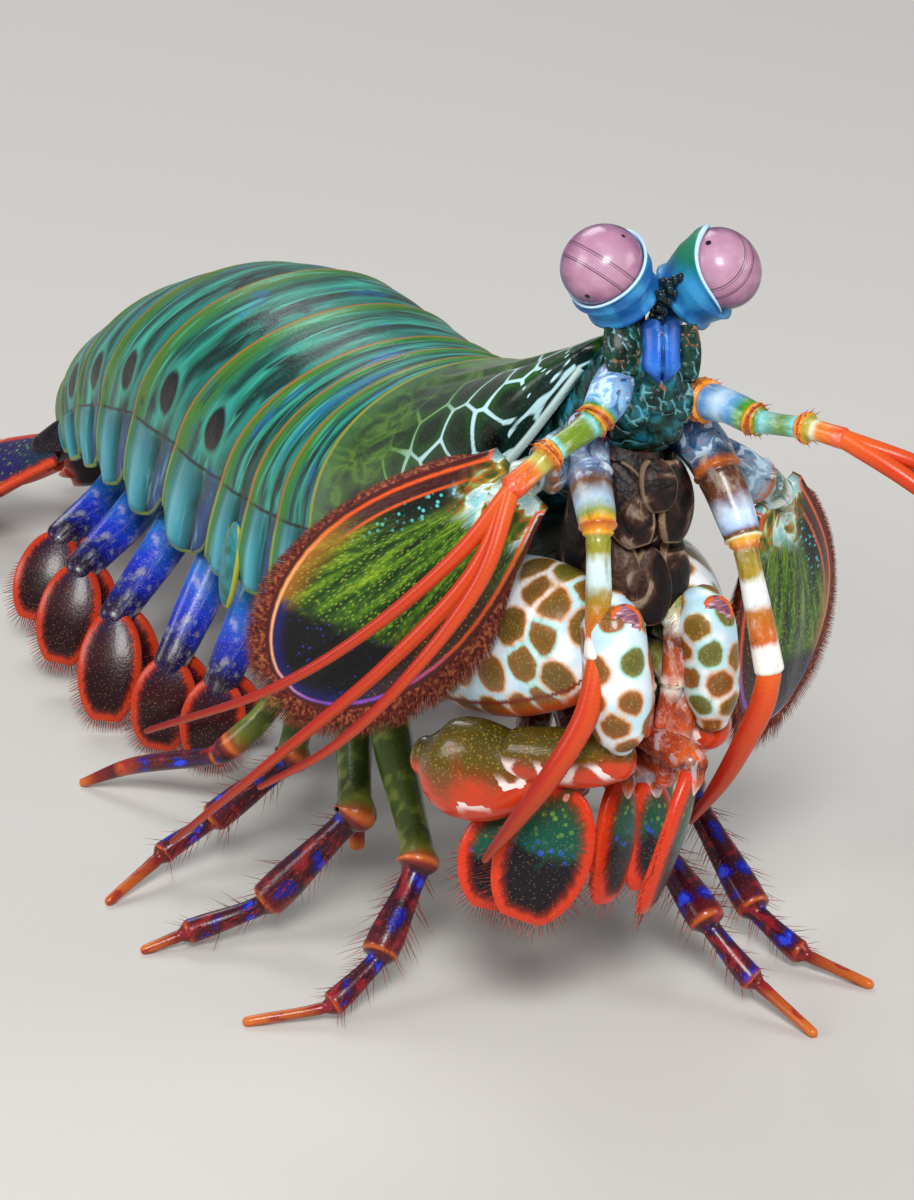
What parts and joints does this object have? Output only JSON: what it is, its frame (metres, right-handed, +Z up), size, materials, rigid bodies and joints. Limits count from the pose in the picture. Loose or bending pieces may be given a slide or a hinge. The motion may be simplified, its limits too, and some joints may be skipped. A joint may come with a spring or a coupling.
{
  "type": "mantis shrimp",
  "caption": "Peacock mantis shrimp, life size, still and alert on its walking legs, antennal scales spread, smashing claws folded and tail fan stretched behind.",
  "frame": {"origin": "centre of the bounding box's footprint, on the floor the feet stand on", "axes": "+Z up, -Y the way the head faces, +Y toward the tail fan, +X the animal's left"},
  "size_m": [0.0808, 0.1932, 0.0775],
  "materials": {
    "body_shell": "satin teal-green shell with darker bands and fine yellow-orange rear edges",
    "shield_shell": "satin olive-green shell with dark cells in a pale net at its front corners",
    "head_shell": "satin dark blue-green shell with a bright blue plate between the eyes",
    "eye_cornea": "glossy lilac-pink compound eye with thin dark lines across its middle",
    "eye_stalk": "blue to green cup with a pale rim, on a dark stalk",
    "mouthparts": "dark red-brown soft parts with pale edges",
    "antennal_scale": "yellow-green blade with dark blue dotted end, orange rim and brown-red bristle fringe",
    "antenna_stem": "blue, olive and white banded segments with orange joint rings",
    "flagellum": "red-orange ringed feelers",
    "claw_arm": "cream-white shell with round olive-brown spots",
    "club": "olive-brown above, orange-red below, glossy and smooth",
    "paddle_limb": "blue-speckled upper joints, dark paddle with an orange-red rim and red bristles",
    "leg": "maroon to olive with bright blue patches and orange-red joints and tips",
    "swimmeret": "bright blue-teal stem, dark red paddles with orange-red rims",
    "tail_fan": "dark purple-black shell with blue edges and an orange-red fringe"
  },
  "bodies": {
    "root": {"abdomen_1": "body_shell", "abdomen_2": "body_shell", "abdomen_3": "body_shell", "abdomen_4": "body_shell", "abdomen_5": "body_shell", "abdomen_6": "body_shell", "antenna_left": "antenna_stem", "antenna_right": "antenna_stem", "antenna_whip_left": "flagellum", "antenna_whip_right": "flagellum", "antennal_scale_left": "antennal_scale", "antennal_scale_right": "antennal_scale", "antennule_left": "antenna_stem", "antennule_right": "antenna_stem", "antennule_whips_left": "flagellum", "antennule_whips_right": "flagellum", "carapace": "shield_shell", "claw_arm_left": "claw_arm", "claw_arm_right": "claw_arm", "claw_club_left": "club", "claw_club_right": "club", "claw_forearm_left": "club", "claw_forearm_right": "club", "claw_knuckle_left": "claw_arm", "claw_knuckle_right": "claw_arm", "eye_left": "eye_cornea", "eye_right": "eye_cornea", "eye_stalk_left": "eye_stalk", "eye_stalk_right": "eye_stalk", "head": "head_shell", "maxilliped_3_left": "paddle_limb", "maxilliped_3_right": "paddle_limb", "maxilliped_4_left": "paddle_limb", "maxilliped_4_right": "paddle_limb", "maxilliped_5_left": "paddle_limb", "maxilliped_5_right": "paddle_limb", "mouthparts": "mouthparts", "swimmeret_1_left": "swimmeret", "swimmeret_1_right": "swimmeret", "swimmeret_2_left": "swimmeret", "swimmeret_2_right": "swimmeret", "swimmeret_3_left": "swimmeret", "swimmeret_3_right": "swimmeret", "swimmeret_4_left": "swimmeret", "swimmeret_4_right": "swimmeret", "swimmeret_5_left": "swimmeret", "swimmeret_5_right": "swimmeret", "telson": "tail_fan", "thorax_6": "body_shell", "thorax_7": "body_shell", "thorax_8": "body_shell", "uropod_left": "tail_fan", "uropod_right": "tail_fan", "walking_leg_1_left": "leg", "walking_leg_1_right": "leg", "walking_leg_2_left": "leg", "walking_leg_2_right": "leg", "walking_leg_3_left": "leg", "walking_leg_3_right": "leg"}
  },
  "joints": []
}
